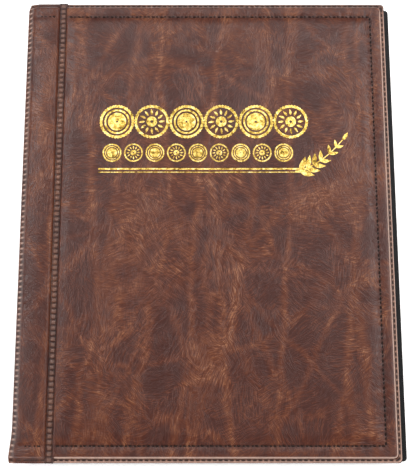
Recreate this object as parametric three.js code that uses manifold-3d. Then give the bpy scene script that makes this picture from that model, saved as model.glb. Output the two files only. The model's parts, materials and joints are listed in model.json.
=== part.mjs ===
// Coin album: padded leatherette covers, two padded binding strips joined to the covers by welded
// hinges, a stiff spine, hidden binding posts and ten clear coin leaves, lying closed on its back.
// Millimetres. +X runs from the spine to the fore-edge, +Y to the head of the album, +Z up.
// The origin is the bottom centre of the closed album.

import * as THREE from 'three';
import { mergeVertices } from 'three/addons/utils/BufferGeometryUtils.js';
import Module from 'manifold-3d';

const wasm = await Module();
wasm.setup();

// Overall sizes
const coverWidth = 200;
const coverHeight = 250;
const coverShift = 4; // the back cover lies this much nearer the fore-edge than the front one

// Layers of each cover, counted outwards from its inner face
const liningThickness = 0.3;
const boardThickness = 1.8;
const foamThickness = 0.8;
const skinThickness = 0.8;
const layerGap = 0.1;
const sideGap = 0.2;
const hingeGap = 0.3;

// Welded edge round each cover, and the padded corner inside it
const flangeWidth = 2.4;
const flangeThickness = 0.6;
const lipCorner = 2;
const padCorner = 2.5;

// Binding strips, hinge welds and spine
const stripReach = 19.6; // from the outer fold to the middle of the hinge weld
const foldReach = 3.2; // from the outer fold to the padded part of the strip
const hingeWeldWidth = 3.2;
const hingeWeldThickness = 1;
const weldPitch = 2.9;
const weldPadLength = 2.2;
const weldPadHeight = 0.5;
const foldWeldWidth = 1.4;
const foldWeldRise = 3;
const spineBoardThickness = 1.5;

// Stitching
const stitchInset = 6.4;
const threadWidth = 0.6;
const threadHeight = 0.3;
const threadGrooveWidth = 1.2;
const threadGrooveDepth = 0.45;

// Leaves
const leafCount = 10;
const leafPitch = 0.7;
const leafThickness = 0.3;
const leafHeight = 236;
const leafForeEdgeGap = 5;
const leafCorner = 4;
const marginThickness = 0.5;
const marginInset = 8; // from the outer fold of the front cover to the bound edge of the leaves
const creaseOffset = 0.5;
const creaseStep = 0.45; // each leaf turns this much nearer the fore-edge than the one above it

// Binding posts
const postCount = 3;
const postPitch = 80;
const postDiameter = 5;
const postBore = 3.5;
const postHeadDiameter = 8;
const postHeadThickness = 0.7;
const screwDiameter = 3;
const postClearance = 0.3;

// Places that follow from the sizes above
const halfHeight = coverHeight / 2;
const albumLeft = -(coverWidth + coverShift) / 2;
const boardFrom = liningThickness + layerGap;
const boardTo = boardFrom + boardThickness;
const foamFrom = boardTo + layerGap;
const foamTo = foamFrom + foamThickness;
const skinFrom = foamTo + layerGap;
const coverThickness = skinFrom + skinThickness;
const backInner = coverThickness;
const frontInner = backInner + leafCount * leafPitch;
const flangeTop = boardFrom + flangeThickness;
const stripMiddle = (foldReach + stripReach - hingeWeldWidth / 2) / 2;
const postX = albumLeft + coverShift / 2 + stripMiddle; // in the middle of what both strips cover
const postSide = postDiameter / 2 + postClearance;

// Each side turns a distance outwards from its inner face into a height.
const front = { name: 'front', shift: 0, height: (out) => frontInner + out };
const back = { name: 'back', shift: coverShift, height: (out) => backInner - out };

const leatherette = new THREE.MeshStandardMaterial({ color: 0x7a4326, roughness: 0.5 });
const liningFilm = new THREE.MeshStandardMaterial({ color: 0x16130f, roughness: 0.6 });
const greyboard = new THREE.MeshStandardMaterial({ color: 0x8d8371, roughness: 0.9 });
const foam = new THREE.MeshStandardMaterial({ color: 0xe3dcc8, roughness: 1 });
const sewingThread = new THREE.MeshStandardMaterial({ color: 0x2a1710, roughness: 0.8 });
const clearFilm = new THREE.MeshStandardMaterial({
  color: 0xdfe6e8,
  roughness: 0.15,
  transparent: true,
  opacity: 0.5,
});
const aluminium = new THREE.MeshStandardMaterial({ color: 0xb9bcc0, roughness: 0.35, metalness: 1 });

const album = new THREE.Group();

function addPart(group, name, geometry, material) {
  const part = new THREE.Mesh(geometry, material);
  part.name = name;
  group.add(part);
}

// A rectangle with its own corner radius at the left and at the right.
function outline({ left, right, half, leftCorner, rightCorner }) {
  const shape = new THREE.Shape();
  shape.moveTo(left + leftCorner, -half);
  shape.lineTo(right - rightCorner, -half);
  shape.absarc(right - rightCorner, rightCorner - half, rightCorner, -Math.PI / 2, 0);
  shape.lineTo(right, half - rightCorner);
  shape.absarc(right - rightCorner, half - rightCorner, rightCorner, 0, Math.PI / 2);
  shape.lineTo(left + leftCorner, half);
  if (leftCorner > 0) {
    shape.absarc(left + leftCorner, half - leftCorner, leftCorner, Math.PI / 2, Math.PI);
    shape.lineTo(left, leftCorner - half);
    shape.absarc(left + leftCorner, leftCorner - half, leftCorner, Math.PI, 1.5 * Math.PI);
  } else {
    shape.lineTo(left, -half);
  }
  shape.closePath();
  return shape;
}

function rectangle(left, right, half) {
  return new THREE.Shape([
    new THREE.Vector2(left, -half),
    new THREE.Vector2(right, -half),
    new THREE.Vector2(right, half),
    new THREE.Vector2(left, half),
  ]);
}

// Round holes for the binding posts through a flat layer.
function punchPostHoles(shape, radius) {
  for (const y of postPlaces()) {
    const hole = new THREE.Path();
    hole.absarc(postX, y, radius, 0, 2 * Math.PI, true);
    shape.holes.push(hole);
  }
  return shape;
}

function postPlaces() {
  const middle = (postCount - 1) / 2;
  return Array.from({ length: postCount }, (_, index) => (middle - index) * postPitch);
}

// A flat layer between two heights, in either order.
function slab(shape, heightA, heightB) {
  const depth = Math.abs(heightB - heightA);
  const geometry = new THREE.ExtrudeGeometry(shape, { depth, bevelEnabled: false, curveSegments: 6 });
  return geometry.translate(0, 0, Math.min(heightA, heightB));
}

// A piece of one section, given as [x, z] points, that runs the height of the album.
function alongAlbum(points, half) {
  const shape = new THREE.Shape(points.map(([x, z]) => new THREE.Vector2(x, z)));
  const geometry = new THREE.ExtrudeGeometry(shape, { depth: 2 * half, bevelEnabled: false });
  return geometry.rotateX(Math.PI / 2).translate(0, half, 0);
}

function toSolid(geometry) {
  const bare = geometry.clone();
  bare.deleteAttribute('normal');
  bare.deleteAttribute('uv');
  const merged = mergeVertices(bare);
  const mesh = new wasm.Mesh({
    numProp: 3,
    vertProperties: new Float32Array(merged.attributes.position.array),
    triVerts: new Uint32Array(merged.index.array),
  });
  return new wasm.Manifold(mesh);
}

function toGeometry(solid) {
  const mesh = solid.getMesh();
  const geometry = new THREE.BufferGeometry();
  geometry.setAttribute('position', new THREE.BufferAttribute(mesh.vertProperties, 3));
  geometry.setIndex(new THREE.BufferAttribute(mesh.triVerts, 1));
  geometry.computeVertexNormals();
  return geometry;
}

// The skin: a padded top with side walls, open underneath, on a thin flange.
function paddedSkin(side, pad, flange) {
  const block = toSolid(slab(outline(pad), side.height(boardFrom), side.height(coverThickness)));
  const rim = toSolid(slab(outline(flange), side.height(boardFrom), side.height(flangeTop)));
  const inside = outline(shrink(pad, skinThickness));
  const cavity = toSolid(slab(inside, side.height(boardFrom - 1), side.height(skinFrom)));
  return block.add(rim).subtract(cavity);
}

function shrink(area, amount) {
  return {
    left: area.left + amount,
    right: area.right - amount,
    half: area.half - amount,
    leftCorner: Math.max(0, area.leftCorner - amount),
    rightCorner: Math.max(0, area.rightCorner - amount),
  };
}

// A U that runs along the head, down the fore-edge and back along the tail.
function stitchLoop(pad, left, width) {
  const outer = stitchEdge(pad, left, stitchInset - width / 2);
  const inner = stitchEdge(pad, left, stitchInset + width / 2).reverse();
  return new THREE.Shape(outer.concat(inner));
}

function stitchEdge(pad, left, inset) {
  const right = pad.right - inset;
  const half = pad.half - inset;
  return [
    new THREE.Vector2(left, half),
    new THREE.Vector2(right, half),
    new THREE.Vector2(right, -half),
    new THREE.Vector2(left, -half),
  ];
}

function addCover(side) {
  const cover = new THREE.Group();
  album.add(cover);
  const left = albumLeft + side.shift + stripReach + hingeWeldWidth / 2 + hingeGap;
  const right = albumLeft + side.shift + coverWidth;
  const flange = { left, right, half: halfHeight, leftCorner: 0, rightCorner: lipCorner };
  const pad = {
    left,
    right: right - flangeWidth,
    half: halfHeight - flangeWidth,
    leftCorner: 0,
    rightCorner: padCorner,
  };
  const core = outline(shrink(pad, skinThickness + layerGap));
  const groove = stitchLoop(pad, left - 1, threadGrooveWidth);
  const grooveFloor = coverThickness - threadGrooveDepth;
  const cut = toSolid(slab(groove, side.height(grooveFloor), side.height(coverThickness + 1)));
  const threadFrom = grooveFloor + layerGap;
  const threadLoop = stitchLoop(pad, left + layerGap, threadWidth);
  const thread = slab(threadLoop, side.height(threadFrom), side.height(threadFrom + threadHeight));
  const lining = slab(outline(flange), side.height(0), side.height(liningThickness));
  const name = `${side.name}_cover`;
  addPart(cover, `${name}_skin`, toGeometry(paddedSkin(side, pad, flange).subtract(cut)), leatherette);
  addPart(cover, `${name}_thread`, thread, sewingThread);
  addPart(cover, `${name}_foam`, slab(core, side.height(foamFrom), side.height(foamTo)), foam);
  addPart(cover, `${name}_board`, slab(core, side.height(boardFrom), side.height(boardTo)), greyboard);
  addPart(cover, `${name}_lining`, lining, liningFilm);
}

function addStrip(side, binding) {
  const fold = albumLeft + side.shift;
  const left = fold + foldReach;
  const right = fold + stripReach - hingeWeldWidth / 2;
  const flange = { left, right, half: halfHeight, leftCorner: 0, rightCorner: 0 };
  const pad = { ...flange, half: halfHeight - flangeWidth };
  const core = shrink(pad, skinThickness + layerGap);
  const board = punchPostHoles(outline(core), postSide);
  const padding = punchPostHoles(outline(core), postHeadDiameter / 2 + postClearance);
  const film = punchPostHoles(outline(flange), postSide);
  const lining = slab(film, side.height(0), side.height(liningThickness));
  const name = `${side.name}_strip`;
  addPart(binding, `${name}_skin`, toGeometry(paddedSkin(side, pad, flange)), leatherette);
  addPart(binding, `${name}_foam`, slab(padding, side.height(foamFrom), side.height(foamTo)), foam);
  addPart(binding, `${name}_board`, slab(board, side.height(boardFrom), side.height(boardTo)), greyboard);
  addPart(binding, `${name}_lining`, lining, liningFilm);
}

// The ladder weld of a hinge: a thin web with a row of raised pads.
function addHingeWeld(side, binding) {
  const middle = albumLeft + side.shift + stripReach;
  const reach = hingeWeldWidth / 2 - hingeGap;
  const web = slab(
    rectangle(middle - reach, middle + reach, halfHeight),
    side.height(0),
    side.height(hingeWeldThickness),
  );
  let weld = toSolid(web);
  const padTop = side.height(hingeWeldThickness + weldPadHeight);
  const padCount = Math.floor((coverHeight - weldPadLength) / weldPitch);
  const firstPad = (-(padCount - 1) / 2) * weldPitch;
  const pads = [];
  for (let index = 0; index < padCount; index += 1) {
    const pad = rectangle(middle - reach + sideGap, middle + reach - sideGap, weldPadLength / 2);
    const raised = slab(pad, side.height(hingeWeldThickness / 2), padTop);
    pads.push(toSolid(raised.translate(0, firstPad + index * weldPitch, 0)));
  }
  weld = wasm.Manifold.union([weld, ...pads]);
  addPart(binding, `${side.name}_hinge_weld`, toGeometry(weld), leatherette);
}

// The slanting weld where the skin folds from a strip down to the spine.
function addFoldWeld(side, binding) {
  const fold = albumLeft + side.shift;
  const inner = fold + foldReach - sideGap;
  const section = [
    [fold, side.height(0)],
    [fold + foldWeldWidth, side.height(0)],
    [inner, side.height(foldWeldRise - foldWeldWidth)],
    [inner, side.height(foldWeldRise)],
  ];
  if (side === back) {
    section.reverse();
  }
  addPart(binding, `${side.name}_fold_weld`, alongAlbum(section, halfHeight), leatherette);
}

// The spine leans, because the back cover lies nearer the fore-edge than the front one.
function addSpine(binding) {
  const top = frontInner - sideGap;
  const bottom = backInner + sideGap;
  const layers = [
    ['spine_skin', 0, skinThickness, leatherette],
    ['spine_board', skinThickness + layerGap, spineBoardThickness, greyboard],
    ['spine_lining', skinThickness + spineBoardThickness + 2 * layerGap, liningThickness, liningFilm],
  ];
  for (const [name, from, thickness, material] of layers) {
    const section = [
      [albumLeft + from, top],
      [albumLeft + coverShift + from, bottom],
      [albumLeft + coverShift + from + thickness, bottom],
      [albumLeft + from + thickness, top],
    ];
    addPart(binding, name, alongAlbum(section, halfHeight), material);
  }
}

// A binding post: a barrel, open below, whose head lies in the padding of the front strip.
function postGeometry() {
  const headTop = front.height(foamTo);
  const headUnder = headTop - postHeadThickness;
  const end = back.height(boardFrom);
  const profile = [
    new THREE.Vector2(0, headUnder),
    new THREE.Vector2(postBore / 2, headUnder),
    new THREE.Vector2(postBore / 2, end),
    new THREE.Vector2(postDiameter / 2, end),
    new THREE.Vector2(postDiameter / 2, headUnder),
    new THREE.Vector2(postHeadDiameter / 2, headUnder),
    new THREE.Vector2(postHeadDiameter / 2, headTop),
    new THREE.Vector2(0, headTop),
  ];
  return new THREE.LatheGeometry(profile, 20).rotateX(Math.PI / 2);
}

// The screw that closes the barrel from the back strip.
function screwGeometry() {
  const headBottom = back.height(foamTo);
  const headTop = headBottom + postHeadThickness;
  const end = front.height(0);
  const profile = [
    new THREE.Vector2(0, headBottom),
    new THREE.Vector2(postHeadDiameter / 2, headBottom),
    new THREE.Vector2(postHeadDiameter / 2, headTop),
    new THREE.Vector2(screwDiameter / 2, headTop),
    new THREE.Vector2(screwDiameter / 2, end),
    new THREE.Vector2(0, end),
  ];
  return new THREE.LatheGeometry(profile, 20).rotateX(Math.PI / 2);
}

function addPosts(binding) {
  postPlaces().forEach((y, index) => {
    addPart(binding, `binding_post_${index + 1}`, postGeometry().translate(postX, y, 0), aluminium);
    addPart(binding, `binding_screw_${index + 1}`, screwGeometry().translate(postX, y, 0), aluminium);
  });
}

// Each leaf is a bound margin, held by the posts, and the leaf itself, which turns at its crease.
function addLeaves(binding) {
  const firstCrease = albumLeft + stripReach + hingeWeldWidth / 2 + creaseOffset;
  const foreEdge = albumLeft + coverWidth - flangeWidth - leafForeEdgeGap;
  const half = leafHeight / 2;
  for (let index = 0; index < leafCount; index += 1) {
    const crease = firstCrease + index * creaseStep;
    const middle = frontInner - (index + 0.5) * leafPitch;
    const number = String(index + 1).padStart(2, '0');
    const margin = punchPostHoles(rectangle(albumLeft + marginInset, crease - hingeGap, half), postSide);
    const leaf = outline({ left: crease, right: foreEdge, half, leftCorner: 0, rightCorner: leafCorner });
    const boundPart = slab(margin, middle - marginThickness / 2, middle + marginThickness / 2);
    const turningPart = slab(leaf, middle - leafThickness / 2, middle + leafThickness / 2);
    addPart(binding, `leaf_margin_${number}`, boundPart, clearFilm);
    addPart(album, `leaf_${number}`, turningPart, clearFilm);
  }
}

const binding = new THREE.Group();
album.add(binding);
for (const side of [front, back]) {
  addCover(side);
  addStrip(side, binding);
  addHingeWeld(side, binding);
  addFoldWeld(side, binding);
}
addSpine(binding);
addPosts(binding);
addLeaves(binding);

export default album;
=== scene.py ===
"""A coin album in padded, marbled leatherette: stitched covers with welded edges, ladder-welded
hinges, a wrapped spine, clear coin leaves and a generic ornament in gold foil on the front.

Lengths are millimetres in the album's own frame until a mesh is made: +X runs to the fore-edge,
+Y to the head and +Z up through the front cover.
"""

import json
import math
import random

import bpy
import numpy as np
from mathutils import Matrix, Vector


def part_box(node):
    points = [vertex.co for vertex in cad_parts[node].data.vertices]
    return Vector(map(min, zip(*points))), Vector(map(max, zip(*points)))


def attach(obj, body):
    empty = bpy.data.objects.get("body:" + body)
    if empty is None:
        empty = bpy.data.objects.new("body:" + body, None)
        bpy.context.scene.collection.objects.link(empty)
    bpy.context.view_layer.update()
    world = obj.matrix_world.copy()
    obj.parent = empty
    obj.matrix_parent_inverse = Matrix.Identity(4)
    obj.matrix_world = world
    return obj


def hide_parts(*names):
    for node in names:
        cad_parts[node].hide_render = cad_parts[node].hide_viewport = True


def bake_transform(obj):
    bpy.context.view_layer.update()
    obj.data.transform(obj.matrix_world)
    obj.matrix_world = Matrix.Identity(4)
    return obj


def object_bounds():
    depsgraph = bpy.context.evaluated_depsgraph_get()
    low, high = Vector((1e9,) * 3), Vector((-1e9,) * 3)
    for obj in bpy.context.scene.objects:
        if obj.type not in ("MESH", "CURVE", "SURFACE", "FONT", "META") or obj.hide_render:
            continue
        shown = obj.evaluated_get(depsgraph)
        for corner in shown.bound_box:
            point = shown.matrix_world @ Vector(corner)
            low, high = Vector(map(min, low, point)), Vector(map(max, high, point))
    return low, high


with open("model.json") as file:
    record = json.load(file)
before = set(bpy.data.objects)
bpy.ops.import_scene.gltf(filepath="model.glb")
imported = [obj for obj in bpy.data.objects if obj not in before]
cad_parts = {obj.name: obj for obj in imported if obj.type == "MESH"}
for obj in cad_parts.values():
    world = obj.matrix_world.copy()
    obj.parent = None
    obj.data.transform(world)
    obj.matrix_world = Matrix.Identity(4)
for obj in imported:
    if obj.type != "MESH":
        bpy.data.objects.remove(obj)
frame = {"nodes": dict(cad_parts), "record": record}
cad_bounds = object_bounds()

MM = 0.001

# Camera: degrees from straight above towards the tail, and the place on the cover that it looks at
CAMERA_TILT = 9.9
CAMERA_DISTANCE = 412.5
CAMERA_AIM = (-3.1, -6.5)
CAMERA_LENS = 60
CAMERA_SENSOR = 36

# Padding
PAD_ROUND = 1.7
PAD_CORNER = 2.5
PAD_SINK = 0.25
PAD_SEAT = 0.05
HINGE_ROUND = 1.3
SKIN = 0.6
CROWN = 0.55
CROWN_REACH = 6.0
HOLLOW = 0.45
HOLLOW_WIDTH = 1.5
PUCKER = 0.1
WRINKLE = 0.07
WRINKLE_REACH = 3.5
UNEVENNESS = 0.1

# Spacing of the pad's mesh, finer within reach of its edges and stitching
FINE_STEP = 0.32
COARSE_STEP = 0.92
FINE_REACH = 2.2

# Welded edge: heights above the cover's inner face, and places outside the padding
EDGE_BASE = 0.42
EDGE_TOP = 1.0
EDGE_WIDTH = 2.4
EDGE_LINES = (-0.45, 0.1, 0.35, 0.5, 0.7, 0.95, 1.2, 1.35, 1.5, 1.7, 1.9, 2.05, 2.1)
EDGE_UNDERCUT = 0.1
WELD_FROM = 0.35
WELD_TO = 1.5
WELD_DEPTH = 0.3
LIP_AT = 1.7
LIP_TURN = 1.9
LIP_RISE = 0.15
LIP_CORNER = 2.0
CORNER_POINTS = 14
LADDER_PITCH = 2.9
LADDER_STEP = LADDER_PITCH / 8
RUNG_WIDTH = 0.7

# Pale wear and painted highlight on edges, lips and weld bars, from 0 to 1; the hinge's share is painted
# light only
PAD_WEAR_AND_HIGHLIGHT = 0.7
LIP_WEAR_AND_HIGHLIGHT = 0.7
WELD_WEAR_AND_HIGHLIGHT = 0.25
FOLD_WEAR_AND_HIGHLIGHT = 0.45
HINGE_PAINTED_LIGHT = 0.12

# Stitching
STITCH_INSET = 6.4
STITCH_PITCH = 2.3
PUCKER_PITCH = 4.6
STITCH_LENGTH = 1.9
SHORT_STITCH = 0.72
STITCH_LEAN = 0.12
THREAD = 0.4
THREAD_BOW = 0.42
THREAD_SINK = 0.32
THREAD_SIDES = 7
THREAD_RINGS = 9

# Binding
HINGE_WELD = 3.2
HINGE_RUNG = 0.9
HINGE_LEVEL = 1.5
HINGE_PAD = 0.4
HINGE_SKIN = 0.7
STRIP_CROWN = 0.2
STRIP_HOLLOW = 0.4
FOLD_RUNG = 0.5
FOLD_WELD_DEPTH = 0.45
FOLD_BEVEL_LENGTH = 5.0
HEAD_BEVEL = 3.2
TAIL_BEVEL = 0.9
TAIL_FLARE = 1.5
TAIL_FLARE_LENGTH = 18.0

# Ornament
DISC = 9.6
DISC_PITCH = 18.9
DISC_COUNT = 6
SMALL_DISC = 5.2
SMALL_DISC_PITCH = 11.6
SMALL_DISC_COUNT = 9
ORNAMENT_INSET = 20.2
ORNAMENT_FROM_HEAD = 60
FOIL_RISE = 0.05
FOIL_ROOT = 0.12
FOIL_LINES = 4

# Leaves
LEAF_COUNT = 10
POCKET_COLUMNS = 4
POCKET_ROWS = 5
POCKET_GAP = 3.2
POCKET_RISE = 0.05
BOUND_EDGE = 7.0
LEAF_SEAM = 1.5
FILM = 0.14


def box_mm(node):
    """A CAD node's lowest and highest corner, in millimetres."""
    low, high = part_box(node)
    return np.array(low) / MM, np.array(high) / MM


class Side:
    """One cover and its half of the binding, measured outwards from the cover's inner face."""

    def __init__(self, name):
        self.name = name
        self.up = 1 if name == "front" else -1
        lining_low, lining_high = box_mm(f"{name}_cover_lining")
        skin_low, skin_high = box_mm(f"{name}_cover_skin")
        self.left = lining_low[0]
        self.right = lining_high[0]
        self.half = lining_high[1]
        self.inner = lining_low[2] if self.up > 0 else lining_high[2]
        self.thickness = skin_high[2] - lining_low[2] if self.up > 0 else lining_high[2] - skin_low[2]
        strip_low, strip_high = box_mm(f"{name}_strip_skin")
        self.strip_left = strip_low[0]
        self.strip_right = strip_high[0]
        self.fold = box_mm(f"{name}_fold_weld")[0][0]
        self.body = f"{name}_cover"
        self.crown = CROWN if self.up > 0 else 0.0

    def height(self, out):
        """The height of a point that is a distance outwards from the inner face."""
        return self.inner + self.up * out


front = Side("front")
back = Side("back")


# ---------------------------------------------------------------- camera, floor and lights


def aim(obj, target):
    """Turns a camera or lamp to look from its place at a target."""
    direction = np.array(target) - np.array(obj.location)
    flat = math.hypot(direction[0], direction[1])
    turn = math.atan2(direction[0], direction[1])
    obj.rotation_euler = (math.atan2(flat, -direction[2]), 0, -turn)


def add_camera():
    """A camera above the cover, leaning back a little towards the tail."""
    tilt = math.radians(CAMERA_TILT)
    distance = CAMERA_DISTANCE * MM
    target = (CAMERA_AIM[0] * MM, CAMERA_AIM[1] * MM, cad_bounds[1][2])
    camera = bpy.data.objects.new("camera", bpy.data.cameras.new("camera"))
    camera.data.lens = CAMERA_LENS
    camera.data.sensor_width = CAMERA_SENSOR
    camera.location = (
        target[0],
        target[1] - distance * math.sin(tilt),
        target[2] + distance * math.cos(tilt),
    )
    aim(camera, target)
    bpy.context.scene.collection.objects.link(camera)
    bpy.context.scene.camera = camera


def add_soft_light(name, place, size, watts):
    """A wide soft box that shines at the album."""
    light = bpy.data.lights.new(name, "AREA")
    light.shape = "RECTANGLE"
    light.size, light.size_y = size
    light.energy = watts
    lamp = bpy.data.objects.new(name, light)
    lamp.location = place
    aim(lamp, (0, 0, 0))
    bpy.context.scene.collection.objects.link(lamp)


def add_studio():
    """A dim white surround, three boxes above the album and three low ones beside it."""
    world = bpy.data.worlds.new("studio")
    world.use_nodes = True
    world.node_tree.nodes["Background"].inputs["Color"].default_value = (1, 1, 1, 1)
    world.node_tree.nodes["Background"].inputs["Strength"].default_value = 0.2
    bpy.context.scene.world = world
    bpy.context.scene.view_settings.view_transform = "Standard"
    for name, place, size, watts in (
        ("upper_fore_edge_box", (0.66, 0.3, 1.0), (1.0, 0.24), 11),
        ("upper_spine_box", (-0.66, 0.3, 1.0), (1.0, 0.24), 10),
        ("head_box", (0, 0.7, 1.0), (1.1, 0.3), 3.5),
        ("fore_edge_box", (1.0, -0.2, 0.22), (1.3, 0.36), 5),
        ("tail_box", (0, -1.0, 0.22), (1.3, 0.36), 6),
        ("spine_box", (-0.95, -0.4, 0.22), (1.2, 0.36), 5),
    ):
        add_soft_light(name, place, size, watts)


# ---------------------------------------------------------------- shader maths


class Value:
    """A shader socket, on which arithmetic adds Math nodes."""

    def __init__(self, finish, socket):
        self.finish = finish
        self.socket = socket

    def math(self, operation, *others):
        sockets = dict(enumerate((self, *others)))
        return self.finish.node("Math", {"operation": operation}, sockets)

    def __add__(self, other):
        return self.math("ADD", other)

    __radd__ = __add__

    def __sub__(self, other):
        return self.math("SUBTRACT", other)

    def __rsub__(self, other):
        return self.finish.node("Math", {"operation": "SUBTRACT"}, {0: other, 1: self})

    def __mul__(self, other):
        return self.math("MULTIPLY", other)

    __rmul__ = __mul__

    def step(self, low, high):
        """0 below low, 1 above high, and smooth between them."""
        sockets = {"Value": self, "From Min": low, "From Max": high}
        return self.finish.node("MapRange", {"interpolation_type": "SMOOTHSTEP"}, sockets)


class Finish:
    """A material: its shader, and the nodes that feed it."""

    def __init__(self, name, **constants):
        self.material = bpy.data.materials.new(name)
        self.material.use_nodes = True
        self.tree = self.material.node_tree
        self.shader = self.tree.nodes["Principled BSDF"]
        for socket, value in constants.items():
            self.shader.inputs[socket.replace("_", " ")].default_value = value

    def node(self, kind, settings=None, sockets=None, output=0):
        """Adds a node: its settings first, then what its sockets take."""
        node = self.tree.nodes.new("ShaderNode" + kind)
        for name, value in (settings or {}).items():
            if name == "stops":
                self.set_stops(node.color_ramp, value)
            else:
                setattr(node, name, value)
        for name, value in (sockets or {}).items():
            self.feed(node.inputs[name], value)
        return Value(self, node.outputs[output])

    def feed(self, socket, value):
        if isinstance(value, Value):
            self.tree.links.new(value.socket, socket)
        else:
            socket.default_value = value

    def set_stops(self, ramp, stops):
        while len(ramp.elements) < len(stops):
            ramp.elements.new(0.5)
        for element, (place, colour) in zip(ramp.elements, stops):
            element.position = place
            element.color = (*colour, 1)

    def place(self):
        """The point on the surface in millimetres, in the album's own frame."""
        point = self.node("TexCoord", output="Object")
        return self.node("VectorMath", {"operation": "SCALE"}, {0: point, "Scale": 1 / MM})

    def noise(self, place, scale, detail=3.0, roughness=0.55, distortion=0.0):
        sockets = {
            "Vector": place,
            "Scale": scale,
            "Detail": detail,
            "Roughness": roughness,
            "Distortion": distortion,
        }
        return self.node("TexNoise", {}, sockets)

    def cell_edge(self, place, scale):
        """How far a place is from the border of its cell."""
        sockets = {"Vector": place, "Scale": scale}
        return self.node("TexVoronoi", {"feature": "DISTANCE_TO_EDGE"}, sockets)

    def stretch(self, place, factors):
        return self.node("VectorMath", {"operation": "MULTIPLY"}, {0: place, 1: factors})

    def turned(self, place, angle):
        return self.node("VectorRotate", {"rotation_type": "Z_AXIS"}, {"Vector": place, "Angle": angle})

    def warped(self, place, scale, amount):
        """The place pushed about by smooth noise, by up to about half the amount each way."""
        sockets = {"Vector": place, "Scale": scale, "Detail": 2.0}
        wander = self.node("TexNoise", {}, sockets, output="Color")
        centred = self.node("VectorMath", {"operation": "SUBTRACT"}, {0: wander, 1: (0.5, 0.5, 0.5)})
        push = self.node("VectorMath", {"operation": "SCALE"}, {0: centred, "Scale": amount})
        return self.node("VectorMath", {"operation": "ADD"}, {0: place, 1: push})

    def mix(self, factor, first, second):
        sockets = {0: factor, 6: first, 7: second}
        return self.node("Mix", {"data_type": "RGBA"}, sockets, output=2)

    def ramp(self, value, *stops):
        return self.node("ValToRGB", {"stops": stops}, {"Fac": value})

    def attribute(self, name):
        return self.node("Attribute", {"attribute_name": name}, output="Fac")

    def finish(self, colour, roughness, alpha=None, bump=None, depth=0.1):
        """Feeds the shader. The bump's height of 1 stands for a depth in millimetres."""
        for name, value in (("Base Color", colour), ("Roughness", roughness), ("Alpha", alpha)):
            if value is not None:
                self.feed(self.shader.inputs[name], value)
        if bump is not None:
            sockets = {"Height": bump, "Distance": depth * MM, "Strength": 1.0}
            self.feed(self.shader.inputs["Normal"], self.node("Bump", {}, sockets))
        return self.material


def srgb(red, green, blue):
    """A colour of 0 to 255 numbers as the linear ones that shaders take."""

    def linear(channel):
        share = channel / 255
        return share / 12.92 if share <= 0.04045 else ((share + 0.055) / 1.055) ** 2.4

    return tuple(linear(channel) for channel in (red, green, blue))


def rgba(red, green, blue):
    return (*srgb(red, green, blue), 1.0)


# ---------------------------------------------------------------- materials


def hair_creases(finish, place, patch_size, pitch):
    """Fine creases that run one way in each small patch of the skin."""
    patch = finish.stretch(place, (1 / patch_size, 0.7 / patch_size, 1 / patch_size))
    colour = finish.node("TexVoronoi", {}, {"Vector": patch, "Scale": 1.0}, output="Color")
    turn = finish.node("SeparateColor", {}, {0: colour}) * math.tau
    drawn = finish.stretch(finish.turned(place, turn), (0.11 / pitch, 1 / pitch, 0.3 / pitch))
    wave = finish.noise(drawn, 1.0, detail=1.5, roughness=0.5, distortion=0.4)
    return (1 - (wave * 2 - 1).math("ABSOLUTE") * 6.5).math("MAXIMUM", 0)


def fold_net(finish, place, heading, width, length, band):
    """Soft bands along the borders of long cells that run one way, 1 on a border and 0 beside it."""
    turned = finish.turned(place, heading)
    edge = finish.cell_edge(finish.stretch(turned, (1 / width, 1 / length, 1 / width)), 1.0)
    return 1 - edge.step(0.0, band / width)


def leatherette():
    """Brown marbled leatherette: tan folds and fine creases on a dark ground, pale on its edges with
    wear and a painted highlight, and painted dark as shade in its pressed places.
    """
    finish = Finish("leatherette", Specular_IOR_Level=0.3)
    place = finish.place()
    broad = finish.warped(place, 0.035, 9)
    fine = finish.warped(broad, 0.12, 2.2)
    cloud = finish.noise(place, 0.03, detail=3.0, roughness=0.55)
    blot = finish.noise(broad, 0.06, detail=2.0, roughness=0.5)
    mottle = finish.noise(place, 0.3, detail=5.0, roughness=0.7)
    hair = hair_creases(finish, fine, 14, 1.1) * 0.7 + hair_creases(finish, broad, 9, 0.85) * 0.45

    bands = fold_net(finish, broad, heading=0.05, width=25, length=170, band=3.2)
    for heading, width, length, band, share in (
        (0.4, 46, 150, 3.0, 0.8),
        (-0.7, 42, 120, 2.8, 0.7),
        (1.35, 40, 90, 2.8, 0.6),
    ):
        bands = bands.math("MAXIMUM", fold_net(finish, broad, heading, width, length, band) * share)
    bands = bands * (0.45 + mottle.step(0.2, 0.6) * 0.55)
    net = fold_net(finish, fine, heading=0.0, width=19, length=23, band=3.0)
    creased = blot.step(0.36, 0.6)
    tone = 0.12 + bands * 0.35 + (cloud - 0.5) * 0.16 + (mottle - 0.5) * 0.2
    tone = tone + hair * (0.15 + creased * 0.22 + net * 0.1) + net * 0.05
    colour = finish.ramp(
        tone,
        (0.0, srgb(50, 23, 18)),
        (0.25, srgb(63, 30, 22)),
        (0.5, srgb(81, 41, 26)),
        (0.75, srgb(103, 59, 37)),
        (1.0, srgb(138, 93, 67)),
    )
    # Pressed places (stitch line, weld windows, the crease by the pad, the hinge's bars and walls) are
    # painted near black: painted shade in their hollows.
    pressed = finish.attribute("pressed")
    colour = finish.mix(pressed * 0.85, colour, rgba(26, 13, 10))
    # Pale cream on edges, lips and weld bars: partly wear, partly a painted highlight standing in for
    # light off those rounded edges.
    worn = finish.attribute("worn") * (0.6 + mottle * 0.8)
    colour = finish.mix(worn, colour, rgba(214, 180, 162))

    pores = finish.noise(place, 2.2, detail=2.0, roughness=0.5)
    relief = hair * 0.8 + pores * 0.2 + bands * 0.2
    roughness = 0.38 + (mottle - 0.5) * 0.24 - bands * 0.05 + pressed * 0.1
    return finish.finish(colour=colour, roughness=roughness, bump=relief, depth=0.1)


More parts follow.
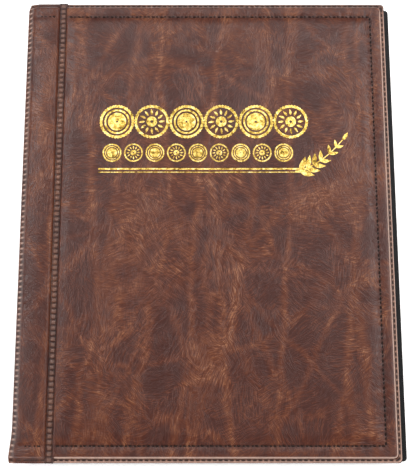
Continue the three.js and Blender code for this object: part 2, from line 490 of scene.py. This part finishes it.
def gold_foil():
    """Stamped foil, mottled from dark to pale gold and rubbed through in specks."""
    finish = Finish("gold_foil", Metallic=1.0)
    place = finish.place()
    flake = finish.noise(finish.warped(place, 0.3, 4), 0.55, detail=6.0, roughness=0.72)
    speck = finish.noise(place, 1.7, detail=4.0, roughness=0.6)
    colour = finish.ramp(
        flake,
        (0.36, srgb(96, 76, 32)),
        (0.45, srgb(180, 146, 62)),
        (0.54, srgb(226, 196, 108)),
        (0.68, srgb(252, 234, 176)),
    )
    colour = finish.mix(speck.step(0.6, 0.68), colour, rgba(64, 42, 18))
    roughness = 0.28 + flake * 0.25
    return finish.finish(colour=colour, roughness=roughness, bump=flake + speck * 0.5, depth=0.12)


def sewing_thread():
    """Dark twisted thread."""
    finish = Finish("sewing_thread", Specular_IOR_Level=0.2)
    place = finish.place()
    twist = finish.node(
        "TexWave",
        {"wave_type": "BANDS", "bands_direction": "DIAGONAL"},
        {"Vector": place, "Scale": 1.1, "Distortion": 0.6},
    )
    colour = finish.ramp(twist, (0.0, srgb(12, 7, 7)), (1.0, srgb(40, 25, 21)))
    return finish.finish(colour=colour, roughness=0.7 + twist * 0.2, bump=twist, depth=0.06)


def black_lining():
    """Black lining film with a small pressed grain."""
    finish = Finish("black_lining", Specular_IOR_Level=0.18)
    place = finish.place()
    grain = finish.cell_edge(place, 0.9)
    cloud = finish.noise(place, 0.12, detail=3.0)
    colour = finish.ramp(cloud, (0.3, srgb(9, 9, 10)), (0.75, srgb(20, 19, 20)))
    roughness = 0.42 + cloud * 0.2
    return finish.finish(colour=colour, roughness=roughness, bump=grain.step(0.0, 0.25), depth=0.06)


def raw_greyboard():
    """Fibrous grey board."""
    finish = Finish("greyboard")
    place = finish.place()
    fibre = finish.noise(finish.stretch(place, (0.3, 1.4, 1)), 0.8, detail=5.0)
    colour = finish.ramp(fibre, (0.3, srgb(112, 104, 90)), (0.7, srgb(152, 143, 126)))
    return finish.finish(colour=colour, roughness=0.85 + fibre * 0.1, bump=fibre, depth=0.08)


def padding_foam():
    """Cream foam with open cells."""
    finish = Finish("padding_foam")
    place = finish.place()
    cells = finish.node("TexVoronoi", {}, {"Vector": place, "Scale": 1.6})
    colour = finish.ramp(cells, (0.1, srgb(236, 229, 207)), (0.8, srgb(196, 187, 162)))
    return finish.finish(colour=colour, roughness=0.9 + cells * 0.05, bump=cells, depth=0.15)


def clear_film():
    """Clear vinyl, hazier and rougher along its welded seams."""
    finish = Finish("clear_film", IOR=1.5)
    place = finish.place()
    ripple = finish.noise(place, 0.05, detail=2.0)
    seam = finish.attribute("pressed")
    colour = finish.ramp(ripple, (0.3, srgb(214, 222, 226)), (0.7, srgb(236, 241, 243)))
    roughness = 0.1 + seam * 0.25
    alpha = 0.2 + ripple * 0.08 + seam * 0.35
    return finish.finish(colour=colour, roughness=roughness, alpha=alpha, bump=ripple, depth=0.3)


def turned_aluminium():
    """Bright metal with fine rings left by turning."""
    finish = Finish("turned_aluminium", Metallic=1.0)
    place = finish.place()
    lathe = finish.noise(finish.stretch(place, (0.2, 0.2, 6.0)), 1.0, detail=3.0)
    colour = finish.ramp(lathe, (0.3, srgb(186, 189, 193)), (0.7, srgb(214, 216, 219)))
    return finish.finish(colour=colour, roughness=0.28 + lathe * 0.15, bump=lathe, depth=0.03)


def pale_floor():
    """A pale floor that glows a little, so that it stays even under the lights."""
    finish = Finish("pale_floor")
    tone = finish.noise(finish.place(), 0.004, detail=2.0)
    colour = finish.ramp(tone, (0.0, (0.93, 0.93, 0.93)), (1.0, (0.97, 0.97, 0.97)))
    finish.shader.inputs["Emission Color"].default_value = (1, 1, 1, 1)
    finish.shader.inputs["Emission Strength"].default_value = 0.35
    return finish.finish(colour=colour, roughness=0.9)


# ---------------------------------------------------------------- meshes


def link_mesh(name, points, faces, material, smooth=True, attributes=None):
    """A mesh from points in millimetres, with optional values at its points."""
    mesh = bpy.data.meshes.new(name)
    mesh.from_pydata((np.asarray(points) * MM).tolist(), [], faces)
    mesh.validate()
    mesh.polygons.foreach_set("use_smooth", [smooth] * len(mesh.polygons))
    for key, values in (attributes or {}).items():
        layer = mesh.attributes.new(key, "FLOAT", "POINT")
        layer.data.foreach_set("value", np.asarray(values, np.float32).ravel())
    mesh.materials.append(material)
    mesh.update()
    obj = bpy.data.objects.new(name, mesh)
    bpy.context.scene.collection.objects.link(obj)
    return obj


def grid_faces(rows, columns, flip=False, close_rows=False, first=0):
    """The quads of a grid of points, counted row by row."""
    row = np.arange(rows if close_rows else rows - 1)[:, None]
    column = np.arange(columns - 1)[None, :]
    here = row * columns + column
    above = ((row + 1) % rows) * columns + column
    quads = np.stack([here, here + 1, above + 1, above], axis=-1).reshape(-1, 4) + first
    if flip:
        quads = quads[:, ::-1]
    return quads.tolist()


def thicken(obj, thickness):
    """Gives a surface a thickness below it."""
    solid = obj.modifiers.new("thickness", "SOLIDIFY")
    solid.thickness = thickness * MM
    solid.offset = -1
    bpy.context.view_layer.objects.active = obj
    with bpy.context.temp_override(object=obj, active_object=obj):
        bpy.ops.object.modifier_apply(modifier=solid.name)


def graded(start, stop, spots):
    """Places from start to stop, close together near each spot."""
    places = [start]
    while places[-1] < stop:
        near = min(abs(places[-1] - spot) for spot in spots)
        places.append(places[-1] + (FINE_STEP if near < FINE_REACH else COARSE_STEP))
    places[-1] = stop
    return np.array(places)


def quarter_round(distance, radius):
    """0 at an edge, 1 from one radius inside it, as a quarter circle."""
    share = np.clip(distance / radius, 0, 1)
    return np.sqrt(1 - (1 - share) ** 2)


def smooth_step(value, low, high):
    """0 below low, 1 above high, and smooth between them."""
    share = np.clip((value - low) / (high - low), 0, 1)
    return share * share * (3 - 2 * share)


def bell(distance, width):
    """1 at no distance, falling smoothly to almost nothing at twice the width."""
    return np.exp(-((distance / width) ** 2))


def rungs(along, width=RUNG_WIDTH):
    """1 on the bars of a ladder weld and 0 in its windows."""
    from_bar = np.abs((along / LADDER_PITCH + 0.5) % 1 - 0.5) * LADDER_PITCH
    return 1 - smooth_step(from_bar, width / 2 - 0.15, width / 2 + 0.35)


def window(across, along):
    """How deep a point of the welded edge lies in one of the ladder's windows."""
    shore = 0.3
    entered = smooth_step(across, WELD_FROM, WELD_FROM + shore)
    left = smooth_step(across, WELD_TO - shore, WELD_TO)
    return entered * (1 - left) * (1 - rungs(along))


def gentle_waves(seed, count, shortest, longest):
    """Smooth random unevenness of about plus or minus one, as a function of x and y."""
    draw = random.Random(seed)
    waves = [
        (draw.uniform(shortest, longest), draw.uniform(0, math.tau), draw.uniform(0, math.tau))
        for _ in range(count)
    ]

    def height(x, y):
        total = 0
        for length, heading, phase in waves:
            run = x * math.cos(heading) + y * math.sin(heading)
            total = total + np.sin(run * math.tau / length + phase)
        return total / math.sqrt(count)

    return height


uneven = gentle_waves(seed=11, count=9, shortest=24, longest=85)


# ---------------------------------------------------------------- covers


def pad_distance(side, x, y):
    """How far inside the padded edge a point lies, leaving the hinge side out."""
    right = side.right - EDGE_WIDTH
    half = side.half - EDGE_WIDTH
    corner_x = x - (right - PAD_CORNER)
    corner_y = np.abs(y) - (half - PAD_CORNER)
    straight = np.minimum(right - x, half - np.abs(y))
    rounded = PAD_CORNER - np.hypot(corner_x, corner_y)
    return np.where((corner_x > 0) & (corner_y > 0), rounded, straight)


def run_along_edge(side, x, y):
    """The place along whichever edge is nearest, so that stitches and wrinkles can be spaced by it."""
    from_side = side.right - EDGE_WIDTH - x
    from_end = side.half - EDGE_WIDTH - np.abs(y)
    return np.where(from_side < from_end, y, x)


def pad_height(side, x, y):
    """The height of the padded surface above the cover's inner face."""
    inside = pad_distance(side, x, y)
    hinge_side = x - side.left
    rise = quarter_round(inside, PAD_ROUND) * quarter_round(hinge_side + 0.2, HINGE_ROUND)
    pad = side.thickness - EDGE_TOP
    stitch = inside - STITCH_INSET
    pucker = np.cos(run_along_edge(side, x, y) * math.tau / PUCKER_PITCH)
    hollow = (HOLLOW + PUCKER * pucker) * bell(stitch, HOLLOW_WIDTH) * smooth_step(hinge_side, 0.5, 4)
    wrinkle = WRINKLE * pucker * np.exp(-np.abs(stitch) / WRINKLE_REACH)
    middle = smooth_step(inside, STITCH_INSET, STITCH_INSET + CROWN_REACH)
    crown = side.crown * middle * smooth_step(hinge_side, 0, CROWN_REACH)
    unevenness = UNEVENNESS * uneven(x, y) * middle if side.up > 0 else 0.0
    top = pad - PAD_SINK + crown + unevenness - hollow - wrinkle
    return EDGE_TOP - PAD_SEAT + np.minimum(top, pad + 2 * side.crown - PAD_SEAT) * rise


def pad_grid(side):
    """Places over the pad, in rows that are pulled in round its two outer corners."""
    right = side.right - EDGE_WIDTH
    half = side.half - EDGE_WIDTH
    x_spots = (side.left, right, right - STITCH_INSET)
    y_spots = (-half, half, half - STITCH_INSET, STITCH_INSET - half)
    x, y = np.meshgrid(graded(side.left, right, x_spots), graded(-half, half, y_spots))
    past_x = np.maximum(x - (right - PAD_CORNER), 0)
    past_y = np.maximum(np.abs(y) - (half - PAD_CORNER), 0)
    outside = np.maximum(-pad_distance(side, x, y), 0)
    pull = outside / np.maximum(np.hypot(past_x, past_y), 1e-6)
    return x - pull * past_x, y - pull * past_y * np.sign(y)


def add_pad(side, material):
    """A cover's padded panel: crowned, rounded over its edges and drawn in along its stitching."""
    x, y = pad_grid(side)
    inside = pad_distance(side, x, y)
    head = side.half - EDGE_WIDTH
    # A pale line on the pad's rounded edge, partly wear and partly painted highlight, made fainter
    # towards the head where less light falls; the stitch line is painted dark as shade in its hollow.
    worn = PAD_WEAR_AND_HIGHLIGHT * bell(inside - 0.4, 0.5) * (x > side.left + 1)
    worn = worn * (1 - 0.7 * smooth_step(y, head - 6, head - 1))
    pressed = 0.5 * bell(inside - STITCH_INSET, 0.7)
    points = np.stack([x, y, side.height(pad_height(side, x, y))], axis=-1).reshape(-1, 3)
    faces = grid_faces(*x.shape, flip=side.up < 0)
    attributes = {"worn": worn, "pressed": pressed}
    pad = link_mesh(f"{side.name}_padded_skin", points, faces, material, attributes=attributes)
    thicken(pad, SKIN)
    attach(pad, side.body)
    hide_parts(f"{side.name}_cover_skin")


def corner_reach(angle, size, radius):
    """How far a rounded square corner reaches from a centre that is one size inside both edges."""
    near = np.minimum(np.abs(np.cos(angle)), np.abs(np.sin(angle)))
    far = np.maximum(np.abs(np.cos(angle)), np.abs(np.sin(angle)))
    inset = size - radius
    both = inset * (near + far)
    rounded = both + np.sqrt(np.maximum(both ** 2 - 2 * inset ** 2 + radius ** 2, 0))
    return np.where(near / far * size > inset, rounded, size / far)


def edge_outline(side, out):
    """Points round the head, fore-edge and tail, a distance outside the padded edge."""
    centre_x = side.right - EDGE_WIDTH - PAD_CORNER
    centre_y = side.half - EDGE_WIDTH - PAD_CORNER
    run = np.linspace(side.left, centre_x, round((centre_x - side.left) / LADDER_STEP))
    climb = np.linspace(-centre_y, centre_y, round(2 * centre_y / LADDER_STEP))
    angle = np.linspace(-math.pi / 2, 0, CORNER_POINTS + 2)[1:-1]
    reach = corner_reach(angle, PAD_CORNER + out, LIP_CORNER)
    tail = np.stack([run, np.full_like(run, -centre_y - PAD_CORNER - out)], -1)
    bend = np.stack([centre_x + reach * np.cos(angle), reach * np.sin(angle) - centre_y], -1)
    fore_edge = np.stack([np.full_like(climb, centre_x + PAD_CORNER + out), climb], -1)
    return np.concatenate([tail, bend, fore_edge, bend[::-1] * (1, -1), tail[::-1] * (1, -1)])


def edge_line(side, out, along):
    """One line along the top of the welded edge: x, y, z, pale wear with painted highlight, and how far
    it is pressed, which is painted dark as shade.
    """
    xy = edge_outline(side, out)
    sunk = window(out, along)
    lip = LIP_RISE * bell(out - LIP_AT, 0.25)
    turned_down = 1.5 * max(0, out - LIP_TURN)
    level = side.height(EDGE_TOP - WELD_DEPTH * sunk + lip - turned_down)
    # The lip and the weld's bars are painted pale, partly wear and partly highlight, fainter towards the
    # head where less light falls; the windows and the crease by the pad are painted dark as shade.
    worn = LIP_WEAR_AND_HIGHLIGHT * bell(out - LIP_AT, 0.2) + WELD_WEAR_AND_HIGHLIGHT * (1 - sunk) * (WELD_FROM < out < WELD_TO)
    worn = worn * (1 - 0.65 * smooth_step(xy[:, 1], side.half - 8, side.half - 2))
    pressed = sunk + 0.25 * (out < WELD_FROM)
    return np.column_stack([xy, level, worn, pressed])


def add_welded_edge(side, material):
    """The flat edge outside the padding: a ladder weld, then a rounded lip."""
    start = edge_outline(side, 0)
    gaps = np.hypot(*np.diff(start, axis=0).T)
    along = np.concatenate([[0], np.cumsum(gaps)])
    lines = [edge_line(side, out, along) for out in EDGE_LINES]
    bare = np.zeros(len(start))
    for out in (EDGE_LINES[-1] - EDGE_UNDERCUT, EDGE_LINES[0]):
        underside = bare + side.height(EDGE_BASE)
        lines.append(np.column_stack([edge_outline(side, out), underside, bare, bare]))
    rows = len(lines)
    columns = len(start)
    points = np.concatenate(lines)
    faces = grid_faces(rows, columns, flip=side.up > 0, close_rows=True)
    first_cap = [row * columns for row in range(rows)]
    last_cap = [row * columns + columns - 1 for row in reversed(range(rows))]
    faces += [first_cap, last_cap] if side.up > 0 else [first_cap[::-1], last_cap[::-1]]
    attributes = {"worn": points[:, 3], "pressed": points[:, 4]}
    edge = link_mesh(f"{side.name}_welded_edge", points[:, :3], faces, material, attributes=attributes)
    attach(edge, side.body)


# ---------------------------------------------------------------- stitching


def stitch_mesh(stitches, up):
    """Short rounded threads, each bowed up between its two holes."""
    normal = np.array([0, 0, up])
    points = []
    faces = []
    for start, end in stitches:
        first = len(points)
        points += thread_points(start, end, normal)
        for ring in range(THREAD_RINGS - 1):
            for turn in range(THREAD_SIDES):
                here = first + ring * THREAD_SIDES + turn
                beside = first + ring * THREAD_SIDES + (turn + 1) % THREAD_SIDES
                faces.append([here, here + THREAD_SIDES, beside + THREAD_SIDES, beside])
        last = first + (THREAD_RINGS - 1) * THREAD_SIDES
        faces.append([first + turn for turn in range(THREAD_SIDES)])
        faces.append([last + turn for turn in reversed(range(THREAD_SIDES))])
    return points, faces


def thread_points(start, end, normal):
    """Rings of points round one stitch, which dips into its hole at each end."""
    forward = (end - start) / np.linalg.norm(end - start)
    across = np.cross(normal, forward)
    points = []
    for ring in range(THREAD_RINGS):
        share = ring / (THREAD_RINGS - 1)
        bow = math.sin(share * math.pi)
        middle = start + (end - start) * share + normal * (THREAD_BOW * bow ** 0.5 - THREAD_SINK)
        girth = THREAD * (0.55 + 0.45 * bow ** 0.4)
        for turn in range(THREAD_SIDES):
            angle = turn * math.tau / THREAD_SIDES
            offset = across * math.cos(angle) * girth + normal * math.sin(angle) * girth * 0.8
            points.append(middle + offset)
    return points


def stitch_row(start, end, surface):
    """The ends of stitches, long and short by turns, on a straight line over a surface."""
    start = np.array(start, float)
    end = np.array(end, float)
    length = np.linalg.norm(end - start)
    forward = (end - start) / length
    lean = STITCH_LEAN * np.array([-forward[1], forward[0]])
    count = int(length // STITCH_PITCH)
    slack = (length - count * STITCH_PITCH + STITCH_PITCH - STITCH_LENGTH) / 2
    stitches = []
    for index in range(count):
        reach = STITCH_LENGTH * (SHORT_STITCH if index % 2 else 1)
        near = start + forward * (slack + index * STITCH_PITCH) + lean
        far = near + forward * reach - 2 * lean
        stitches.append((np.append(near, surface(*near)), np.append(far, surface(*far))))
    return stitches


def add_cover_stitches(side, material):
    """The row of stitches round three sides of a cover, set in the padding's hollow."""
    right = side.right - EDGE_WIDTH - STITCH_INSET
    half = side.half - EDGE_WIDTH - STITCH_INSET
    left = side.left + 1.5

    def surface(x, y):
        return side.height(float(pad_height(side, np.array(x), np.array(y))))

    corners = [(left, half), (right, half), (right, -half), (left, -half)]
    stitches = []
    for start, end in zip(corners, corners[1:]):
        stitches += stitch_row(start, end, surface)
    points, faces = stitch_mesh(stitches, side.up)
    thread = link_mesh(f"{side.name}_stitches", points, faces, material)
    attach(thread, side.body)
    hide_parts(f"{side.name}_cover_thread")


# ---------------------------------------------------------------- hinges and binding


def add_hinge_weld(side, material):
    """The web between strip and cover, pressed into a ladder."""
    middle = (side.strip_right + side.left) / 2
    columns = np.linspace(side.strip_right - 0.3, side.left + 0.5, 15)
    rows = np.linspace(-side.half, side.half, round(2 * side.half / LADDER_STEP) + 1)
    x, y = np.meshgrid(columns, rows)
    across = np.abs(x - middle) / (HINGE_WELD / 2)
    bars = rungs(y, width=HINGE_RUNG)
    pads = (1 - bars) * (1 - smooth_step(across, 0.5, 0.8))
    walls = smooth_step(across, 0.85, 1.1)
    height = HINGE_LEVEL + HINGE_PAD * (pads + walls)
    # The hinge's bars and walls are painted dark as shade in the groove, and its raised pads are painted
    # a little paler as painted light.
    pressed = 0.55 * bars + 0.25 * smooth_step(across, 0.6, 0.9)
    points = np.stack([x, y, side.height(height)], axis=-1).reshape(-1, 3)
    faces = grid_faces(*x.shape, flip=side.up < 0)
    attributes = {"worn": HINGE_PAINTED_LIGHT * pads, "pressed": np.clip(pressed, 0, 1)}
    weld = link_mesh(f"{side.name}_ladder_hinge", points, faces, material, attributes=attributes)
    thicken(weld, HINGE_SKIN)
    height_middle = side.height(1.0) * MM
    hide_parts(f"{side.name}_hinge_weld")
    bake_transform(weld)


def strip_section(side):
    """A strip and its fold in section: x, height on the padding, height at the ends, and weld."""
    left = side.strip_left
    right = side.strip_right
    fold = side.fold
    full = side.thickness
    crown = STRIP_CROWN if side.up > 0 else 0.0
    return [
        (right, 0.5, 0.5, 0),
        (right - 0.05, 2.2, 0.9, 0),
        (right - 0.75, full - 0.65, 1.0, 0),
        (right - 2.1, full - 0.12, 1.0, 0),
        ((left + right) / 2, full + crown, 1.0, 0),
        (left + 2.6, full - 0.1, 1.0, 0),
        (left + 0.8, full - 0.45, 1.0, 0),
        (left - 0.1, full - 1.0, 0.95, 0.1),
        ((left + fold) / 2, full - 2.15, 0.8, 1),
        (fold + 0.35, 0.75, 0.5, 0.1),
        (fold, 0.0, 0.0, 0),
    ]


def smooth_section(points, per_span):
    """A Catmull-Rom curve through section points, every column smoothed alike."""
    points = np.array(points, float)
    padded = np.vstack([2 * points[0] - points[1], points, 2 * points[-1] - points[-2]])
    shares = np.linspace(0, 1, per_span, endpoint=False)[:, None]
    spans = []
    for index in range(len(points) - 1):
        before, start, end, after = padded[index : index + 4]
        linear = (end - before) / 2
        bend = before - 2.5 * start + 2 * end - after / 2
        twist = (after - before) / 2 + 1.5 * (start - end)
        spans.append(start + shares * (linear + shares * (bend + shares * twist)))
    return np.vstack([*spans, points[-1:]])


def binding_section():
    """The wrap's section from the front hinge round the spine to the back hinge."""
    halves = []
    for side in (front, back):
        section = [
            (x, side.height(padded), side.height(plain), weld)
            for x, padded, plain, weld in strip_section(side)
        ]
        halves.append(section if side is front else section[::-1])
    spine = []
    for share in (0.25, 0.5, 0.75):
        x = front.fold * (1 - share) + back.fold * share
        level = front.inner * (1 - share) + back.inner * share
        spine.append((x, level, level, 0))
    return smooth_section(halves[0] + spine + halves[1], 5).T


def fold_shift(x, y, half):
    """How far the outer fold draws in at the album's ends, and flares out near the tail."""
    middle = (front.strip_left + back.strip_left) / 2
    near_fold = smooth_step(-x, -middle - 3, -middle + 3)
    past = np.clip((np.abs(y) - half + FOLD_BEVEL_LENGTH) / FOLD_BEVEL_LENGTH, 0, 1)
    bevel = np.where(y > 0, HEAD_BEVEL, TAIL_BEVEL) * (1 - np.sqrt(1 - past ** 2 * 0.98))
    flare = TAIL_FLARE * smooth_step(-y, half - TAIL_FLARE_LENGTH, half)
    return near_fold * (bevel - flare)


def add_binding_skin(material):
    """One wrap of leatherette: front strip, fold, spine, fold and back strip."""
    half = front.half
    step = LADDER_PITCH / 6
    along = np.linspace(-half, half, round(2 * half / step) + 1)
    x_line, padded_line, plain_line, weld_line = binding_section()
    y, x = np.meshgrid(along, x_line, indexing="ij")
    out = np.sign(plain_line + padded_line - (front.inner + back.inner))
    is_pad = np.clip(np.abs(padded_line - plain_line) / 2.5, 0, 1) * (np.abs(weld_line) < 0.05)
    is_weld = np.clip(weld_line, 0, 1)
    bars = rungs(y, width=FOLD_RUNG)
    from_end = half - EDGE_WIDTH - np.abs(y)
    pad_share = quarter_round(from_end, PAD_ROUND)
    hollow = STRIP_HOLLOW * bell(from_end - STITCH_INSET, HOLLOW_WIDTH)
    end_weld = window(-from_end, x)
    level = plain_line * (1 - pad_share) + padded_line * pad_share
    level = level - out * (hollow + WELD_DEPTH * end_weld) * is_pad
    level = level - out * FOLD_WELD_DEPTH * is_weld * (1 - bars)
    x = x + fold_shift(x, y, half)
    # The fold weld's bars are painted pale, partly wear and partly highlight; its windows, and those of
    # the end welds, are painted dark as shade.
    worn = FOLD_WEAR_AND_HIGHLIGHT * np.clip(weld_line * bars, 0, 1)
    pressed = np.clip(0.7 * is_weld * (1 - bars) + 0.8 * end_weld * is_pad, 0, 1)
    points = np.stack([x, y, level], axis=-1).reshape(-1, 3)
    faces = grid_faces(*x.shape, flip=True)
    attributes = {"worn": worn, "pressed": pressed}
    skin = link_mesh("binding_skin", points, faces, material, attributes=attributes)
    thicken(skin, SKIN)
    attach(skin, "binding")
    names = [f"{side.name}_{piece}" for side in (front, back) for piece in ("strip_skin", "fold_weld")]
    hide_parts("spine_skin", *names)


def add_strip_stitches(side, material):
    """Two short rows across a binding strip, in line with the cover's."""
    half = side.half - EDGE_WIDTH - STITCH_INSET

    def surface(x, y):
        return side.height(side.thickness - THREAD_BOW)

    stitches = []
    for y in (half, -half):
        stitches += stitch_row((side.strip_right - 1.0, y), (side.strip_left + 2.4, y), surface)
    points, faces = stitch_mesh(stitches, side.up)
    thread = link_mesh(f"{side.name}_strip_stitches", points, faces, material)
    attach(thread, "binding")


# ---------------------------------------------------------------- gold ornament


class Foil:
    """Collects flat foil shapes, which then lie on the padded cover."""

    def __init__(self):
        self.points = []
        self.faces = []

    def add_rows(self, x, y, closed):
        """A strip or ring of foil, whose rows run one beside another, with a top, bottom and rim."""
        rows, columns = x.shape
        ground = pad_height(front, x, y)
        first = len(self.points)
        for lift in (FOIL_RISE, -FOIL_ROOT):
            level = front.height(ground + lift)
            self.points += np.stack([x, y, level], axis=-1).reshape(-1, 3).tolist()
        below = first + rows * columns
        last = columns if closed else columns - 1
        for row in range(rows - 1):
            for column in range(last):
                beside = (column + 1) % columns
                quad = [row * columns + column, (row + 1) * columns + column]
                quad += [(row + 1) * columns + beside, row * columns + beside]
                self.faces.append([first + corner for corner in quad])
                self.faces.append([below + corner for corner in reversed(quad)])
        for row, turned in ((0, True), (rows - 1, False)):
            for column in range(last):
                beside = row * columns + (column + 1) % columns
                here = row * columns + column
                wall = [first + here, below + here, below + beside, first + beside]
                self.faces.append(wall[::-1] if turned else wall)
        if not closed:
            for column, turned in ((0, False), (columns - 1, True)):
                for row in range(rows - 1):
                    here = row * columns + column
                    above = here + columns
                    wall = [first + here, below + here, below + above, first + above]
                    self.faces.append(wall[::-1] if turned else wall)

    def ring(self, centre, inner, outer, turns=72, scallops=0, depth=0.0):
        angle = np.linspace(0, math.tau, turns, endpoint=False)
        edge = outer - depth * (0.5 + 0.5 * np.cos(scallops * angle))
        radii = np.linspace(np.full(turns, inner), edge, FOIL_LINES)
        self.add_rows(centre[0] + radii * np.cos(angle), centre[1] + radii * np.sin(angle), True)

    def band(self, points, widths):
        """A band along a row of points, as wide as it says at each."""
        points = np.array(points, float)
        ahead = np.gradient(points, axis=0)
        ahead /= np.linalg.norm(ahead, axis=1)[:, None]
        across = np.column_stack([-ahead[:, 1], ahead[:, 0]])
        shares = np.linspace(0.5, -0.5, FOIL_LINES)[:, None]
        x = points[:, 0] + shares * across[:, 0] * widths
        y = points[:, 1] + shares * across[:, 1] * widths
        self.add_rows(x, y, False)

    def leaf(self, start, heading, length, width):
        """A pointed leaf that bends a little to its left."""
        share = np.linspace(0, 1, 15)
        bend = 0.15 * length * share ** 2
        along = share * length
        x = start[0] + along * math.cos(heading) - bend * math.sin(heading)
        y = start[1] + along * math.sin(heading) + bend * math.cos(heading)
        widths = width * np.sin(math.pi * share ** 0.8) + 0.06
        self.band(np.column_stack([x, y]), widths)


def add_rays(foil, centre, radius, count=12):
    """Leaf-shaped rays round the middle of a disc."""
    for ray in range(count):
        heading = ray * math.tau / count
        x = centre[0] + radius * 0.4 * math.cos(heading)
        y = centre[1] + radius * 0.4 * math.sin(heading)
        foil.leaf((x, y), heading, radius * 0.34, radius * 0.12)


def add_coin_row(foil, left, middle, count, radius, pitch):
    """Plain discs with milled rims, like blank coins side by side, every other one rayed."""
    for index in range(count):
        centre = (left + radius + index * pitch, middle)
        foil.ring(centre, radius * 0.83, radius, turns=144, scallops=36, depth=radius * 0.045)
        if index % 2:
            foil.ring(centre, radius * 0.08, radius * 0.3)
            add_rays(foil, centre, radius)
        else:
            foil.ring(centre, radius * 0.62, radius * 0.72)
            foil.ring(centre, radius * 0.06, radius * 0.52)


def add_sprig(foil, start, length):
    """A curved stem with pairs of leaves that grow shorter towards its tip."""
    share = np.linspace(0, 1, 22)
    x = start[0] + length * share
    y = start[1] + length * (0.18 * share + 0.5 * share ** 2)
    foil.band(np.column_stack([x, y]), 0.9 - 0.5 * share)
    for index in range(6):
        place = int(2 + index * 3.3)
        heading = math.atan2(y[place + 1] - y[place], x[place + 1] - x[place])
        size = 8.2 - 0.8 * index
        foil.leaf((x[place], y[place]), heading + 0.75, size, size * 0.36)
        foil.leaf((x[place], y[place]), heading - 0.75, size, size * 0.36)
    foil.leaf((x[-1], y[-1]), heading, 5, 1.8)


def add_ornament(material):
    """Two rows of discs over a double rule, with a sprig at its end."""
    foil = Foil()
    left = front.left + ORNAMENT_INSET
    head = front.half - ORNAMENT_FROM_HEAD
    add_coin_row(foil, left, head - 10, DISC_COUNT, DISC, DISC_PITCH)
    add_coin_row(foil, left + 2, head - 27.5, SMALL_DISC_COUNT, SMALL_DISC, SMALL_DISC_PITCH)
    rule = np.linspace(left, left + 2 * DISC + (DISC_COUNT - 1) * DISC_PITCH, 60)
    for y, width in ((head - 36.5, 0.9), (head - 38.3, 0.45)):
        foil.band(np.column_stack([rule, np.full_like(rule, y)]), np.full_like(rule, width))
    add_sprig(foil, (left + 106, head - 38), 26)
    ornament = link_mesh("foil_ornament", foil.points, foil.faces, material, smooth=False)
    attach(ornament, front.body)


# ---------------------------------------------------------------- leaves


def add_leaf(number, material):
    """A leaf of clear film, welded into pockets, each a little fuller than its seams."""
    node = f"leaf_{number:02d}"
    low, high = box_mm(node)
    x, y = np.meshgrid(np.linspace(low[0], high[0], 90), np.linspace(low[1], high[1], 121))
    pocket_x = pocket_share(x, low[0] + BOUND_EDGE, high[0] - LEAF_SEAM, POCKET_COLUMNS)
    pocket_y = pocket_share(y, low[1] + LEAF_SEAM, high[1] - LEAF_SEAM, POCKET_ROWS)
    fullness = pocket_x * pocket_y
    middle = (low[2] + high[2]) / 2
    thickness = FILM / 2 + POCKET_RISE * fullness
    upper = np.stack([x, y, middle + thickness], axis=-1).reshape(-1, 3)
    lower = np.stack([x, y, middle - thickness], axis=-1).reshape(-1, 3)
    rows, columns = x.shape
    faces = grid_faces(rows, columns)
    faces += grid_faces(rows, columns, flip=True, first=rows * columns)
    faces += rim_faces(rows, columns)
    points = np.vstack([upper, lower])
    attributes = {"pressed": np.tile(1 - fullness.ravel(), 2)}
    leaf = link_mesh(f"pocket_{node}", points, faces, material, attributes=attributes)
    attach(leaf, node)
    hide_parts(node)


def pocket_share(place, start, stop, count):
    """1 in the middle of a pocket and 0 on the seams between them."""
    pitch = (stop - start) / count
    from_seam = np.abs(((place - start) / pitch + 0.5) % 1 - 0.5) * pitch
    inside = smooth_step(from_seam, POCKET_GAP / 2 - 0.6, POCKET_GAP / 2 + 1.2)
    return inside * (place > start) * (place < stop)


def rim_faces(rows, columns):
    """Quads that join the border of one grid to the same grid below it."""
    below = rows * columns
    loop = list(range(columns - 1))
    loop += [row * columns + columns - 1 for row in range(rows - 1)]
    loop += [(rows - 1) * columns + column for column in range(columns - 1, 0, -1)]
    loop += [row * columns for row in range(rows - 1, 0, -1)]
    return [
        [here + below, beside + below, beside, here]
        for here, beside in zip(loop, loop[1:] + loop[:1])
    ]


# ---------------------------------------------------------------- building the scene


def add_floor(material):
    """The floor that the album lies on, which is not part of it."""
    reach = 3000
    points = [(-reach, -reach, 0), (reach, -reach, 0), (reach, reach, 0), (-reach, reach, 0)]
    link_mesh("floor", points, [[0, 1, 2, 3]], material, smooth=False)


def finish_cad_nodes(finishes):
    """Gives every CAD node the finish of its own material slot."""
    slots = {part["node"]: part["material_slot"] for part in frame["record"]["subparts"]}
    for node, obj in frame["nodes"].items():
        obj.data.materials.clear()
        obj.data.materials.append(finishes[slots[node]])


def build():
    """Makes the finishes, the studio and every piece."""
    finishes = {
        "leatherette": leatherette(),
        "thread": sewing_thread(),
        "foam": padding_foam(),
        "greyboard": raw_greyboard(),
        "lining": black_lining(),
        "clear_film": clear_film(),
        "aluminium": turned_aluminium(),
        "gold_foil": gold_foil(),
    }
    add_camera()
    add_studio()
    add_floor(pale_floor())
    finish_cad_nodes(finishes)
    for side in (front, back):
        add_pad(side, finishes["leatherette"])
        add_welded_edge(side, finishes["leatherette"])
        add_cover_stitches(side, finishes["thread"])
        add_hinge_weld(side, finishes["leatherette"])
        add_strip_stitches(side, finishes["thread"])
    add_binding_skin(finishes["leatherette"])
    add_ornament(finishes["gold_foil"])
    for number in range(1, LEAF_COUNT + 1):
        add_leaf(number, finishes["clear_film"])


build()
